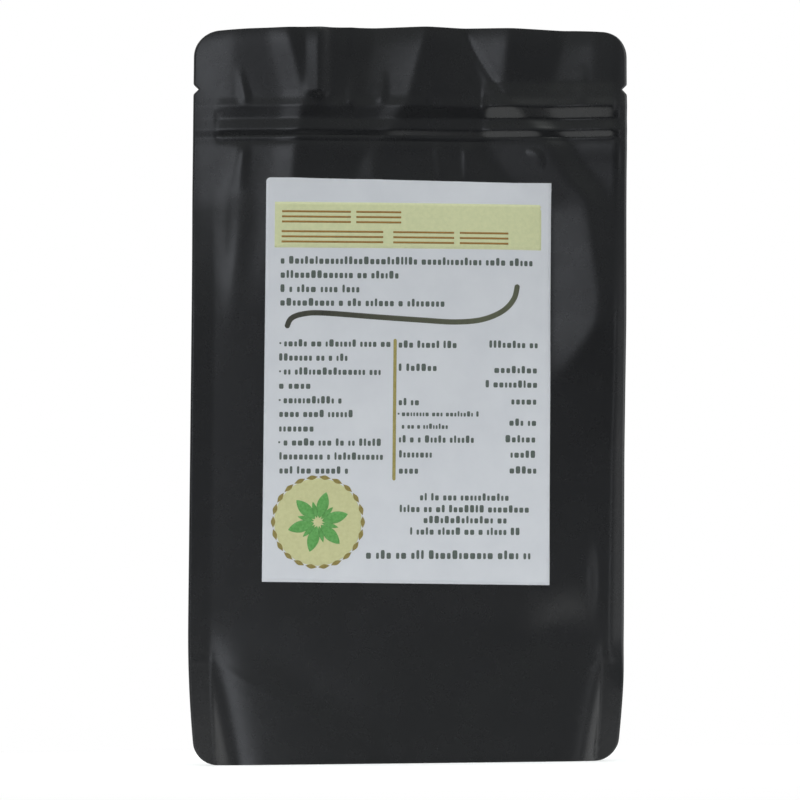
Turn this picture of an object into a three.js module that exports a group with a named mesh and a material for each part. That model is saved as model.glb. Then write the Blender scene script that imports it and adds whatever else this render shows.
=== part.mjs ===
import * as THREE from 'three';

// A shut stand-up zip pouch of matt black film with a blank white label on its front.
// Millimetres, +Z up, front towards -Y. The pouch stands on its opened bottom gusset, and the origin is under its middle.

// The flat bag
const pouchWidth = 160;
const pouchHeight = 270;
const topCornerRadius = 10;
const bottomCornerRadius = 8;
const sealWidth = 8;              // welded strip down each side
const flangeThickness = 0.5;      // both films welded together

// How far the filled bag opens
const bodyHalfDepth = 2.6;        // over the contents
const footHalfDepth = 6.8;        // added at the foot, where the gusset is spread
const footPower = 16;             // the foot's bow is 1 less the place across to this power, so it has steep flanks
const wedgeHeight = 48;           // the front starts to spread below this
const wedgeSoftness = 3;
const contentsTop = 178;          // the body thins from here up to the zip
const leanPerHeight = 0.017;      // the soft body leans to the right as it rises
const leanPivot = 160;
const topCrown = 1.4;             // the corners of the top edge hang this far below its middle

// Zip, tear notches
const zipTapeBottom = 227.3;
const zipTapeTop = 241;
const zipKink = 27.3;             // the zip stands out further to the right of this
const zipKinkSoftness = 2;
const zipRounding = 0.2;
const zipLeftEnd = -70.8;
const zipRightEnd = 75;
const zipCrimpedShare = 0.35;     // relief left where the zip ends are pressed flat
const notchHeight = 247.2;
const notchHalfHeight = 1.9;
const notchDepth = 1.9;

// Underside: a welded rim on the floor with the gusset web arched up between
const rimWidth = 1.6;
const gussetRise = 7;
const gussetSharpness = 1.6;      // 1 is a plain V, 2 a round arch

// Label, a sheet of A6 size turned a little clockwise
const labelWidth = 105;
const labelHeight = 148;
const labelThickness = 0.3;
const labelGap = 0.3;
const labelCentreX = -1.14;
const labelCentreZ = 139;
const labelTurn = THREE.MathUtils.degToRad(-1.1);
const labelCornerRadius = 1.5;    // the upper left corner is the rounded one
const labelFree = 1.5;            // the film is free of the label this far past its edge
const labelHeld = 6;              // swells die out this far inside the label's edge
const labelHeldBends = 22;        // and the bends of both films this far inside

// Curls of the edges, both films together
const topCurlStart = 263;
const topCurlDrop = 0.4;          // the top edge leans back by this
const edgeCurlStartLow = 73.6;
const edgeCurlStartHigh = 76.4;
const edgeCurlRate = -0.56;       // the right seal's edge turns back at this slope
const edgeCurlSoftness = 0.5;
const edgeCurlLow = 24;
const edgeCurlHigh = 235;
const edgeCurlRise = 24;

// Bends that run down both films
const bendSoftness = 3;
const bendSmoothing = [-3.5, -1.2, 1.2, 3.5];

// Mesh steps
const columnStep = 4;
const squeezeFrom = 60;           // columns beyond this follow the cut outline
const footRows = 9;
const bodyRows = 18;
const cornerRows = 4;
const undersideRows = 8;
const labelColumns = 25;
const labelRows = 12;

// Height, and how far the film stands out left and right of the kink
const zipProfile = [
  [226, 0, 0],
  [229, -0.35, -0.3],
  [231.8, 0.35, 1],
  [236, -0.1, 0],
  [240.6, 0.38, 1.9],
  [244, 0.05, 1],
  [250, 0, 0],
];

// Bends from the top edge down, from left to right, each through places [z, x, height towards the viewer]
const sheetLines = [
  [[270, -80, -4], [243, -80, -4.1], [206, -80, -3.9], [166, -80, 0]],
  [[270, -66.7, -1], [243, -66, -2.1], [206, -65, -2.1], [166, -65, 0]],
  [[270, -53.3, 0.2], [243, -46.6, -0.4], [226, -50, -0.5], [206, -52, -0.5], [166, -52, 0]],
  [[270, -45.5, 1.7], [243, -38.8, 1.3], [228, -41.5, 1], [214, -42.6, 0.8], [206, -42, 0.6],
    [166, -42, 0]],
  [[270, -33.2, 0], [243, -36, 0.5], [228, -38, 0.3], [214, -38.5, 0.1], [206, -38, 0.1],
    [166, -36, 0]],
  [[270, -13.2, -3.2], [243, -18.7, -0.9], [226, -15, -0.1], [216, -20, -0.4], [206, -24, -0.2],
    [166, -24, 0]],
  [[270, -4, -0.8], [243, -10, -0.3], [226, -13.6, 0], [216, -12.3, 0.8], [206, -12, 0.6],
    [166, -12, 0]],
  [[270, 5.8, 1.8], [243, -0.9, 1.3], [226, -11, 0], [216, -10, 0], [206, -9, 0],
    [166, -9, 0]],
  [[270, 19.2, -2.2], [243, 26.5, -0.9], [226, 27.5, -1.7], [216, 33, -1.3], [203, 50.5, -0.6],
    [183, 51, -1.2], [160, 51, -1.2], [136, 50, 0]],
  [[270, 37.1, 1.3], [243, 35, 0.3], [232, 46, 0.3], [226, 51.5, 1.3], [216, 56, 1.6],
    [206, 66, 2.5], [183, 69, 3.5], [172, 71, 3.8], [160, 70, 3.6], [136, 53, 0],
    [112, 53, 0]],
  [[270, 57.2, -2.4], [243, 50.5, -1.2], [232, 54.5, -0.9], [226, 58.5, 0], [216, 66, 0.4],
    [206, 71, 1.7], [183, 73, 3], [172, 74, 3.5], [160, 73, 3.4], [136, 70, 1.3],
    [112, 66, 0]],
  [[270, 67.2, 0.3], [243, 67.2, 1.7], [226, 69, 1.6], [216, 73, 1.5], [203, 75, 1.9],
    [172, 77, 3.4], [160, 77, 3.3], [136, 75, 1.4], [112, 73, 0]],
  [[270, 80, 1.4], [243, 80, 2.5], [226, 80, 3.4], [216, 80, 2.7], [203, 80, 2.6],
    [172, 80, 3.6], [160, 80, 3.5], [136, 80, 1.6], [112, 80, 0]],
];

// Swells and dents of the front film: x, z, half width, half height, turn in degrees, height
const frontSwells = [
  [60, 66, 15, 15, 20, 1.5],
  [46, 44, 10, 6, -40, -0.35],
  [-64, 196, 5, 22, 4, 0.6],
  [28, 30, 7, 22, 55, -0.5],
  [-34, 27, 8, 22, -60, -0.4],
];

const smooth = THREE.MathUtils.smootherstep;

// max(0, t) with its corner rounded over about the width
function soften(t, width) {
  const share = t / width;
  return width * (Math.max(share, 0) + Math.log1p(Math.exp(-Math.abs(share))));
}

// Straight stretches through the given places and heights, the corners rounded, level beyond both ends
function bentLine(t, places, heights, rounding) {
  let total = heights[0];
  let before = 0;
  for (let i = 0; i < places.length; i++) {
    const atEnd = i === places.length - 1;
    const slope = atEnd ? 0 : (heights[i + 1] - heights[i]) / (places[i + 1] - places[i]);
    total += (slope - before) * soften(t - places[i], rounding);
    before = slope;
  }
  return total;
}

// Value at height z of a line's places, which run downwards
function alongLine(line, z, item) {
  const below = line.findIndex((place) => place[0] <= z);
  if (below === 0) return line[0][item];
  if (below < 0) return line[line.length - 1][item];
  const [upper, lower] = [line[below - 1], line[below]];
  return THREE.MathUtils.mapLinear(z, upper[0], lower[0], upper[item], lower[item]);
}

// Share of the foot's spread that is left at height z: 1 on the floor, falling in a straight wedge to 0
function wedgeShare(z) {
  return soften(wedgeHeight - z, wedgeSoftness) / soften(wedgeHeight, wedgeSoftness);
}

// How far the contents bow each film out in the middle, a parabola across the bag
function bodyBow(z) {
  return bodyHalfDepth * (1 - smooth(z, contentsTop, zipTapeBottom));
}

// How far the opened foot pushes each film out, flat across with steep flanks beside the seals
function footBow(z) {
  return footHalfDepth * wedgeShare(z);
}

// Half width at height z: a bowed film keeps its length, so it draws the side seals in
function bentHalfWidth(z) {
  const [body, foot] = [bodyBow(z), footBow(z)];
  const square = (4 * body ** 2) / 3 + (4 * body * foot * footPower) / (footPower + 1)
    + (foot * footPower) ** 2 / (2 * footPower - 1);
  return pouchWidth / 2 - square / (pouchWidth - 2 * sealWidth);
}

// How much the rounded corners and the tear notches take off the side at height z
function outlineCut(z) {
  const arc = (radius, d) => (d < radius ? radius - Math.sqrt(radius ** 2 - (radius - d) ** 2) : 0);
  const notch = Math.max(0, 1 - Math.abs(z - notchHeight) / notchHalfHeight);
  return arc(bottomCornerRadius, z) + arc(topCornerRadius, pouchHeight - z) + notchDepth * notch;
}

// Side shift of the centre line at height z
function centreLine(z) {
  return leanPerHeight * (z - leanPivot);
}

// Height above the floor of a flat bag's point: the header's corners hang below its middle
function crowned(column, z) {
  const up = THREE.MathUtils.clamp((z - zipTapeTop) / (pouchHeight - zipTapeTop), 0, 1);
  return z - topCrown * up * (column / (pouchWidth / 2)) ** 2;
}

// Where the flat bag's column lies across the standing one
function acrossAt(column, z) {
  const shrink = bentHalfWidth(z) / (pouchWidth / 2);
  const flat = Math.abs(column);
  const fixed = squeezeFrom * shrink;
  if (flat <= squeezeFrom) return column * shrink;
  const edge = bentHalfWidth(z) - outlineCut(z);
  const share = (flat - squeezeFrom) / (pouchWidth / 2 - squeezeFrom);
  return Math.sign(column) * (fixed + share * (edge - fixed));
}

// Raised zip, pressed flatter at both ends
function zipRelief(x, z) {
  const heights = zipProfile.map((row) => row[0]);
  const side = (item) => bentLine(z, heights, zipProfile.map((row) => row[item]), zipRounding);
  const right = smooth(x, zipKink - zipKinkSoftness, zipKink + zipKinkSoftness);
  const relief = THREE.MathUtils.lerp(side(1), side(2), right);
  return x > zipLeftEnd && x < zipRightEnd ? relief : relief * zipCrimpedShare;
}

// 1 on bare film, 0 where the label holds it smooth, further in than the held margin
function bareShare(x, z, held) {
  const dx = x - labelCentreX;
  const dz = z - labelCentreZ;
  const across = Math.abs(dx * Math.cos(labelTurn) + dz * Math.sin(labelTurn)) - labelWidth / 2;
  const along = Math.abs(-dx * Math.sin(labelTurn) + dz * Math.cos(labelTurn)) - labelHeight / 2;
  return smooth(Math.max(across, along), -held, labelFree);
}

// Front-to-back wave of both films: the bends, the top edge curled back and the right seal's edge turned back
function sheetWave(x, z) {
  const mean = (line, item) => bendSmoothing.reduce((sum, d) => sum + alongLine(line, z + d, item), 0)
    / bendSmoothing.length;
  const places = sheetLines.map((line) => mean(line, 1));
  const heights = sheetLines.map((line) => mean(line, 2));
  const bends = bentLine(x, places, heights, bendSoftness) * bareShare(x, z, labelHeldBends);
  const top = topCurlDrop * (soften(z - topCurlStart, 1) / (pouchHeight - topCurlStart)) ** 2;
  const level = THREE.MathUtils.clamp((z - edgeCurlLow) / (edgeCurlHigh - edgeCurlLow), 0, 1);
  const start = THREE.MathUtils.lerp(edgeCurlStartLow, edgeCurlStartHigh, level);
  const edge = edgeCurlRate * soften(x - start, edgeCurlSoftness);
  return bends - top + edge * smooth(z, edgeCurlLow, edgeCurlLow + edgeCurlRise);
}

// Swells of the front film, as round hills stretched along a turned axis
function frontRelief(x, z) {
  let relief = 0;
  for (const [cx, cz, halfWidth, halfHeight, turn, height] of frontSwells) {
    const angle = THREE.MathUtils.degToRad(turn);
    const along = (x - cx) * Math.sin(angle) + (z - cz) * Math.cos(angle);
    const across = (x - cx) * Math.cos(angle) - (z - cz) * Math.sin(angle);
    relief += height * Math.exp(-((across / halfWidth) ** 2) - (along / halfHeight) ** 2);
  }
  const insideSeals = smooth(pouchWidth / 2 - sealWidth - Math.abs(x), 0, sealWidth);
  const belowZip = 1 - smooth(z, zipTapeBottom - 12, zipTapeBottom);
  return relief * bareShare(x, z, labelHeld) * insideSeals * belowZip * smooth(z, 0, 10);
}

// Half thickness of the bag: flat side seals with a bowed film between them
function halfThickness(x, z) {
  const inner = ((pouchWidth / 2 - sealWidth) * bentHalfWidth(z)) / (pouchWidth / 2);
  const across = Math.min(1, Math.abs(x / inner));
  const bow = bodyBow(z) * (1 - across ** 2) + footBow(z) * (1 - across ** footPower);
  return flangeThickness / 2 + bow + zipRelief(x, z);
}

// Depth of the front face, x measured from the leaning centre line
function frontDepth(x, z) {
  return -sheetWave(x, z) - halfThickness(x, z) - frontRelief(x, z);
}

function backDepth(x, z) {
  return -sheetWave(x, z) + halfThickness(x, z);
}

function evenly(low, high, count) {
  return Array.from({ length: count }, (_, i) => low + ((high - low) * (i + 1)) / (count + 1));
}

// Heights of the mesh rows: close together round the corners, the zip and the notches
function rowHeights() {
  const turn = (i) => ((Math.PI / 2) * i) / cornerRows;
  const steps = Array.from({ length: cornerRows + 1 }, (_, i) => i);
  return [
    ...steps.map((i) => bottomCornerRadius * (1 - Math.cos(turn(i)))),
    ...evenly(bottomCornerRadius, wedgeHeight + 8, footRows),
    wedgeHeight + 8,
    ...evenly(wedgeHeight + 8, zipTapeBottom, bodyRows),
    zipTapeBottom,
    ...zipProfile.slice(1, -1).map((row) => row[0]),
    notchHeight - notchHalfHeight, notchHeight, notchHeight + notchHalfHeight,
    ...evenly(notchHeight + notchHalfHeight, pouchHeight - topCornerRadius, 1),
    ...steps.map((i) => pouchHeight - topCornerRadius * (1 - Math.sin(turn(i)))),
  ];
}

// Closed solid between two grids of points, given as lists of columns from left to right, each from bottom to top.
// The underside is a third grid from front to back, or a plain strip when it is left out.
class SheetSolid {
  constructor(front, back, underside) {
    this.points = [];
    this.faces = [];
    const place = (column) => column.map((point) => this.points.push(point) - 1);
    this.front = front.map(place);
    this.back = back.map(place);
    const last = front.length - 1;
    const top = front[0].length - 1;
    for (let i = 0; i < last; i++) {
      for (let j = 0; j < top; j++) {
        this.quad(this.front[i][j], this.front[i + 1][j], this.front[i + 1][j + 1], this.front[i][j + 1]);
        this.quad(this.back[i][j], this.back[i][j + 1], this.back[i + 1][j + 1], this.back[i + 1][j]);
      }
      this.quad(this.front[i][top], this.front[i + 1][top], this.back[i + 1][top], this.back[i][top]);
    }
    for (let j = 0; j < top; j++) {
      this.quad(this.front[0][j], this.front[0][j + 1], this.back[0][j + 1], this.back[0][j]);
      this.quad(this.front[last][j], this.back[last][j], this.back[last][j + 1], this.front[last][j + 1]);
    }
    this.closeUnderside(underside, last, place);
  }

  quad(a, b, c, d) {
    this.faces.push(a, b, c, a, c, d);
  }

  closeUnderside(underside, last, place) {
    const inner = (i) => (underside ? place(underside[i].slice(1, -1)) : []);
    const rows = [];
    for (let i = 0; i <= last; i++) {
      const atEnd = i === 0 || i === last;
      rows.push([this.front[i][0], ...(atEnd ? [] : inner(i)), this.back[i][0]]);
    }
    for (let i = 1; i < last - 1; i++) {
      for (let k = 0; k < rows[i].length - 1; k++) {
        this.quad(rows[i][k], rows[i][k + 1], rows[i + 1][k + 1], rows[i + 1][k]);
      }
    }
    this.fan(rows[0], rows[1], false);
    this.fan(rows[last], rows[last - 1], true);
  }

  // The end cells of the underside, from the two corner points to the first full row
  fan([a, b], row, flipped) {
    const middle = Math.floor((row.length - 1) / 2);
    const face = (p, q, r) => this.faces.push(...(flipped ? [p, q, r] : [p, r, q]));
    for (let k = 0; k < row.length - 1; k++) face(k < middle ? a : b, row[k], row[k + 1]);
    face(a, row[middle], b);
  }

  geometry() {
    const geometry = new THREE.BufferGeometry().setFromPoints(this.points);
    geometry.setIndex(this.faces);
    geometry.computeVertexNormals();
    return geometry;
  }
}

// Underside of the column at x: a flat welded rim front and back, and the gusset web arched up between them
function undersideColumn(x, shift) {
  const half = halfThickness(x, 0);
  const web = Math.max(half - rimWidth, 0.4 * half);
  const rise = gussetRise * THREE.MathUtils.clamp(web / (bodyHalfDepth + footHalfDepth - rimWidth), 0, 1);
  const points = [new THREE.Vector3(x + shift, -half, 0)];
  for (let k = 0; k <= undersideRows - 2; k++) {
    const share = (2 * k) / (undersideRows - 2) - 1;
    const height = rise * (1 - Math.abs(share) ** gussetSharpness);
    points.push(new THREE.Vector3(x + shift, share * web, height));
  }
  points.push(new THREE.Vector3(x + shift, half, 0));
  return points;
}

function makePouch() {
  const columns = [];
  for (let x = -pouchWidth / 2; x <= pouchWidth / 2; x += columnStep) columns.push(x);
  const rows = rowHeights();
  const face = (depth) => columns.map((column) => rows.map((z) => {
    const x = acrossAt(column, z);
    return new THREE.Vector3(x + centreLine(z), depth(x, z), crowned(column, z));
  }));
  const underside = columns.map((column) => undersideColumn(acrossAt(column, 0), centreLine(0)));
  const solid = new SheetSolid(face(frontDepth), face(backDepth), underside);
  const film = new THREE.MeshStandardMaterial({ color: 0x26272b, roughness: 0.5, metalness: 0 });
  const pouch = new THREE.Mesh(solid.geometry(), film);
  pouch.name = 'pouch';
  return pouch;
}

// The label follows the front film just clear of it
function makeLabel() {
  const cornerSteps = Array.from({ length: cornerRows + 1 }, (_, i) => Math.sin(((Math.PI / 2) * i) / cornerRows));
  const straightTop = labelHeight / 2 - labelCornerRadius;
  const rows = [
    -labelHeight / 2,
    ...evenly(-labelHeight / 2, straightTop, labelRows),
    ...cornerSteps.map((share) => straightTop + labelCornerRadius * share),
  ];
  const columns = [-labelWidth / 2, ...evenly(-labelWidth / 2, labelWidth / 2, labelColumns), labelWidth / 2];
  const cutAt = (v) => {
    const above = Math.max(0, v - straightTop);
    return labelCornerRadius - Math.sqrt(labelCornerRadius ** 2 - above ** 2);
  };
  const face = (offset) => columns.map((u, i) => rows.map((v) => {
    const along = i === 0 ? u + cutAt(v) : u;
    const x = labelCentreX + along * Math.cos(labelTurn) - v * Math.sin(labelTurn);
    const z = labelCentreZ + along * Math.sin(labelTurn) + v * Math.cos(labelTurn);
    return new THREE.Vector3(x, frontDepth(x - centreLine(z), z) - offset, z);
  }));
  const solid = new SheetSolid(face(labelGap + labelThickness), face(labelGap));
  const paper = new THREE.MeshStandardMaterial({ color: 0xd9dde2, roughness: 0.75, metalness: 0 });
  const label = new THREE.Mesh(solid.geometry(), paper);
  label.name = 'label';
  return label;
}

const stand = new THREE.Group();
stand.add(makePouch(), makeLabel());

export default stand;
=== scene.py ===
import bpy
import numpy as np
from mathutils import Matrix, Vector


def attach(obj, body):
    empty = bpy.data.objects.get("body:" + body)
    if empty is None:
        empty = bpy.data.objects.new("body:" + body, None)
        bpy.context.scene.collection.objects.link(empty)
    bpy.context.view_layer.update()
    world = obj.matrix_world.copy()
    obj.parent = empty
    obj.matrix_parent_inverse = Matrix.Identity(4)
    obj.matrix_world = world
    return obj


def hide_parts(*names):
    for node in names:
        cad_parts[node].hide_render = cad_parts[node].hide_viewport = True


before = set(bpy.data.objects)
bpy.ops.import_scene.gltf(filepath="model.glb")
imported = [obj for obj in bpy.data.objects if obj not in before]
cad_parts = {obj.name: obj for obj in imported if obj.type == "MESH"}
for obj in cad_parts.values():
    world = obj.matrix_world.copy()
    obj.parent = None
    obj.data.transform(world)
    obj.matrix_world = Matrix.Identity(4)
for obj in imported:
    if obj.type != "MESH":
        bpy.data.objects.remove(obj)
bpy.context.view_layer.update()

# A shut stand-up zip pouch of matt black film with a printed paper label, standing on its opened gusset.
# Shapes are worked out in millimetres, +Z up, front towards -Y, and put into meshes in metres.

mm = 0.001
scene = bpy.context.scene
scene.view_settings.view_transform = "Standard"


# Helpers for curves of one value

def smooth(t, low, high):
    # 0 below low and 1 above high; between them 6 s^5 - 15 s^4 + 10 s^3 of the share s of the way
    s = np.clip((t - low) / (high - low), 0.0, 1.0)
    return s * s * s * (s * (s * 6.0 - 15.0) + 10.0)


def soften(t, width):
    # max(0, t) with its corner rounded over about the width: width times the log of 1 + e^(t / width)
    return width * np.logaddexp(0.0, t / width)


def hill(distance, width):
    # a bell, 1 in the middle: e to the minus (distance / width) squared
    return np.exp(-(distance / width) ** 2)


def bentLine(t, places, heights, rounding):
    # straight stretches through the given places and heights, the corners rounded. Each place adds its
    # change of slope to all that follows, and it is level after the last; both may be arrays shaped as t
    total = heights[0] + np.zeros(np.broadcast(t, heights[0]).shape)
    before = 0.0
    for i in range(len(places) - 1):
        slope = (heights[i + 1] - heights[i]) / (places[i + 1] - places[i])
        total = total + (slope - before) * soften(t - places[i], rounding)
        before = slope
    return total - before * soften(t - places[-1], rounding)


# Bag: the flat bag's sizes and how far the filled one opens

bag = dict(
    width=160.0, height=270.0, seal=8.0, flange=0.36,
    topRadius=10.0, footRadius=8.0,
    bodyDepth=2.6, footDepth=6.8, footPower=16.0, wedge=48.0, wedgeSoft=3.0, contentsTop=178.0,
    lean=0.017, leanPivot=160.0, crown=1.4, squeezeFrom=60.0,
    notchAt=247.2, notchHalf=1.9, notchDepth=1.9, notchSoft=0.08,
    reliefRise=10.0, reliefEnd=(-5.0, 1.0),
)
zipTape = dict(
    bottom=227.3, top=241.0, left=-70.8, right=75.0, kink=27.3, kinkSoft=2.0, rounding=0.2, reach=2.0,
    crimped=0.35, crimpSoft=1.0, crimpMark=0.15, markWidth=0.5, markLow=(0.5, 2.0), markHigh=(-3.0, -1.5),
)
zipProfile = [   # height, and how far the film stands out left and right of the kink
    (226.0, 0.0, 0.0), (229.0, -0.35, -0.3), (231.8, 0.35, 1.0), (236.0, -0.1, 0.0),
    (240.6, 0.38, 1.9), (244.0, 0.05, 1.0), (250.0, 0.0, 0.0),
]
label = dict(
    width=105.0, height=148.0, x=-1.14, z=139.0, turn=np.radians(-1.1),
    cornerRadius=1.5, cornerReach=6.0, thickness=0.13, sunk=0.01, held=6.0, free=1.5,
)


def wedgeShare(z):
    # share of the foot's spread left at height z: 1 on the floor, a straight wedge, then 0
    return soften(bag["wedge"] - z, bag["wedgeSoft"]) / soften(bag["wedge"], bag["wedgeSoft"])


def bodyBow(z):
    # how far the contents bow each film out in the middle: a parabola across the bag
    return bag["bodyDepth"] * (1.0 - smooth(z, bag["contentsTop"], zipTape["bottom"]))


def footBow(z):
    # how far the opened foot pushes each film out: flat across, with steep flanks beside the seals
    return bag["footDepth"] * wedgeShare(z)


def bentHalfWidth(z):
    # a bowed film keeps its length, so each side draws in by half the mean square of both bows' slope
    inner, power = bag["width"] / 2 - bag["seal"], bag["footPower"]
    body, foot = bodyBow(z), footBow(z)
    square = 4 * body ** 2 / 3 + 4 * body * foot * power / (power + 1) + (foot * power) ** 2 / (2 * power - 1)
    return bag["width"] / 2 - square / (2 * inner)


def arcCut(radius, d):
    # what a rounded corner takes off the side, d above or below its end
    return radius - np.sqrt(np.clip(radius ** 2 - np.clip(radius - d, 0.0, radius) ** 2, 0.0, None))


def outlineCut(z):
    # what the round corners and the tear notch take off each side: two arcs and a triangle with soft corners
    notch = soften(1.0 - np.abs(z - bag["notchAt"]) / bag["notchHalf"], bag["notchSoft"])
    corners = arcCut(bag["footRadius"], z) + arcCut(bag["topRadius"], bag["height"] - z)
    return corners + bag["notchDepth"] * np.clip(notch, 0.0, 1.0)


def centreLine(z):
    # the bag leans to the right: the lean times the height above the pivot
    return bag["lean"] * (z - bag["leanPivot"])


def crowned(column, z):
    # the header's corners hang below the middle of the top edge, by the square of the place across
    share = np.clip((z - zipTape["top"]) / (bag["height"] - zipTape["top"]), 0.0, 1.0)
    return z - bag["crown"] * share * (column / (bag["width"] / 2)) ** 2


def acrossAt(column, z):
    # a flat column's place across the standing bag; the outer columns follow the cut outline
    half = bag["width"] / 2
    shrink = bentHalfWidth(z) / half
    fixed = bag["squeezeFrom"] * shrink
    edge = bentHalfWidth(z) - outlineCut(z)
    share = (np.abs(column) - bag["squeezeFrom"]) / (half - bag["squeezeFrom"])
    outer = np.sign(column) * (fixed + share * (edge - fixed))
    return np.where(np.abs(column) <= bag["squeezeFrom"], column * shrink, outer)


# Relief of the film. Each fold is a straight ridge or crease with flat flanks:
# x and z of its two ends, flank widths at each end (left, right), height at each end

foldSoft = dict(foot=0.07, overrun=0.6, least=1.0)   # soft feet, and how far a fold fades past its ends


def folds(x, z, rows, crest):
    # height times 1 less the distance over the flank's width, with a rounded crest and soft feet
    total = np.zeros(np.broadcast(x, z).shape)
    for x0, z0, x1, z1, left0, right0, left1, right1, h0, h1 in rows:
        length = np.hypot(x1 - x0, z1 - z0)
        ux, uz = (x1 - x0) / length, (z1 - z0) / length
        along = ((x - x0) * ux + (z - z0) * uz) / length
        across = (x - x0) * uz - (z - z0) * ux
        t = np.clip(along, 0.0, 1.0)
        flank = np.where(across < 0.0, left0 + (left1 - left0) * t, right0 + (right1 - right0) * t)
        rounded = np.sqrt(across ** 2 + crest ** 2) - crest
        profile = np.clip(soften(1.0 - rounded / flank, foldSoft["foot"]), 0.0, None)
        overrun = np.clip(np.maximum(-along, along - 1.0), 0.0, None) * length
        fade = foldSoft["overrun"] * (left0 + right0) / 2 + foldSoft["least"]
        total += (h0 + (h1 - h0) * t) * profile * hill(overrun, fade)
    return total


def swells(x, z, rows):
    # bells stretched along a turned axis: x, z, half width, half height, turn in degrees, height
    total = np.zeros(np.broadcast(x, z).shape)
    for cx, cz, halfWidth, halfHeight, turn, height in rows:
        a = np.radians(turn)
        along = (x - cx) * np.sin(a) + (z - cz) * np.cos(a)
        across = (x - cx) * np.cos(a) - (z - cz) * np.sin(a)
        total += height * np.exp(-(across / halfWidth) ** 2 - (along / halfHeight) ** 2)
    return total


# bends that run down both films together, each through places (z, x, height towards the viewer)
sheetLines = [
    [(270, -80.0, -4.0), (243, -80.0, -4.1), (206, -80.0, -3.9), (166, -80.0, 0.0)],
    [(270, -66.7, -1.0), (243, -66.0, -2.1), (206, -65.0, -2.1), (166, -65.0, 0.0)],
    [(270, -53.3, 0.2), (243, -46.6, -0.4), (226, -50.0, -0.5), (206, -52.0, -0.5), (166, -52.0, 0.0)],
    [(270, -45.5, 1.7), (243, -38.8, 1.3), (228, -41.5, 1.0), (214, -42.6, 0.8), (206, -42.0, 0.6),
     (166, -42.0, 0.0)],
    [(270, -33.2, 0.0), (243, -36.0, 0.5), (228, -38.0, 0.3), (214, -38.5, 0.1), (206, -38.0, 0.1),
     (166, -36.0, 0.0)],
    [(270, -13.2, -3.2), (243, -18.7, -0.9), (226, -15.0, -0.1), (216, -20.0, -0.4), (206, -24.0, -0.2),
     (166, -24.0, 0.0)],
    [(270, -4.0, -0.8), (243, -10.0, -0.3), (226, -13.6, 0.0), (216, -12.3, 0.8), (206, -12.0, 0.6),
     (166, -12.0, 0.0)],
    [(270, 5.8, 1.8), (243, -0.9, 1.3), (226, -11.0, 0.0), (216, -10.0, 0.0), (206, -9.0, 0.0),
     (166, -9.0, 0.0)],
    [(270, 19.2, -2.2), (243, 26.5, -0.9), (226, 27.5, -1.7), (216, 33.0, -1.3), (203, 50.5, -0.6),
     (183, 51.0, -1.2), (160, 51.0, -1.2), (136, 50.0, 0.0)],
    [(270, 37.1, 1.3), (243, 35.0, 0.3), (232, 46.0, 0.3), (226, 51.5, 1.3), (216, 56.0, 1.6),
     (206, 66.0, 2.5), (183, 69.0, 3.5), (172, 71.0, 3.8), (160, 70.0, 3.6), (136, 53.0, 0.0),
     (112, 53.0, 0.0)],
    [(270, 57.2, -2.4), (243, 50.5, -1.2), (232, 54.5, -0.9), (226, 58.5, 0.0), (216, 66.0, 0.4),
     (206, 71.0, 1.7), (183, 73.0, 3.0), (172, 74.0, 3.5), (160, 73.0, 3.4), (136, 70.0, 1.3),
     (112, 66.0, 0.0)],
    [(270, 67.2, 0.3), (243, 67.2, 1.7), (226, 69.0, 1.6), (216, 73.0, 1.5), (203, 75.0, 1.9),
     (172, 77.0, 3.4), (160, 77.0, 3.3), (136, 75.0, 1.4), (112, 73.0, 0.0)],
    [(270, 80.0, 1.4), (243, 80.0, 2.5), (226, 80.0, 3.4), (216, 80.0, 2.7), (203, 80.0, 2.6),
     (172, 80.0, 3.6), (160, 80.0, 3.5), (136, 80.0, 1.6), (112, 80.0, 0.0)],
]
sheetSoft = dict(across=0.9, down=(-3.5, -1.2, 1.2, 3.5), held=22.0)
headerFolds = [
    (-33.9, 247, -33.9, 268, 5.5, 4.0, 5.5, 4.0, 1.6, 1.7),
    (-61.0, 244, -62.8, 252, 2.4, 1.2, 1.5, 1.0, 0.5, 0.15),
    (-22.0, 243, -21.5, 252, 2.4, 1.2, 1.8, 1.0, 0.7, 0.15),
    (-23.0, 262, -22.0, 271, 2.4, 2.0, 3.0, 2.0, 0.2, 0.7),
    (-11.0, 244, -10.5, 250, 2.5, 2.0, 1.5, 1.5, 0.5, 0.2),
    (5.8, 244, 5.8, 252, 1.8, 1.0, 1.2, 1.0, 0.35, 0.1),
    (20.5, 266, 33.0, 246, 1.0, 1.0, 1.0, 1.0, -0.2, -0.25),
    (63.0, 244, 63.5, 254, 2.5, 1.5, 2.0, 1.5, 0.4, 0.1),
]
edgeCurl = dict(startHigh=76.4, startLow=73.6, rate=-0.56, soft=0.5, low=24.0, high=235.0, rise=24.0)
topCurl = dict(start=263.0, drop=0.4, soft=1.0)
frontSwells = [
    (60, 66, 15, 15, 20, 1.5), (46, 44, 10, 6, -40, -0.35),
    (-64, 196, 5, 22, 4, 0.6), (28, 30, 7, 22, 55, -0.5), (-34, 27, 8, 22, -60, -0.4),
]
belowZipFolds = [  # the film puckers where it leaves the stiff zip
    (-61.5, 227, -63, 212, 2, 2, 3, 3, 0.5, 0.2),
    (-3.0, 229, -2.5, 223, 1.5, 1.5, 1.5, 1.5, 0.25, 0.0),
    (4.5, 229, 4.5, 223, 1.5, 1.5, 1.5, 1.5, 0.25, 0.0),
    (9.3, 228, 11, 216, 2.2, 1.6, 2.2, 1.6, 0.4, 0.25),
    (20.2, 228, 20.6, 216, 3.2, 1.6, 3.2, 1.6, 0.55, 0.4),
]


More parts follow.
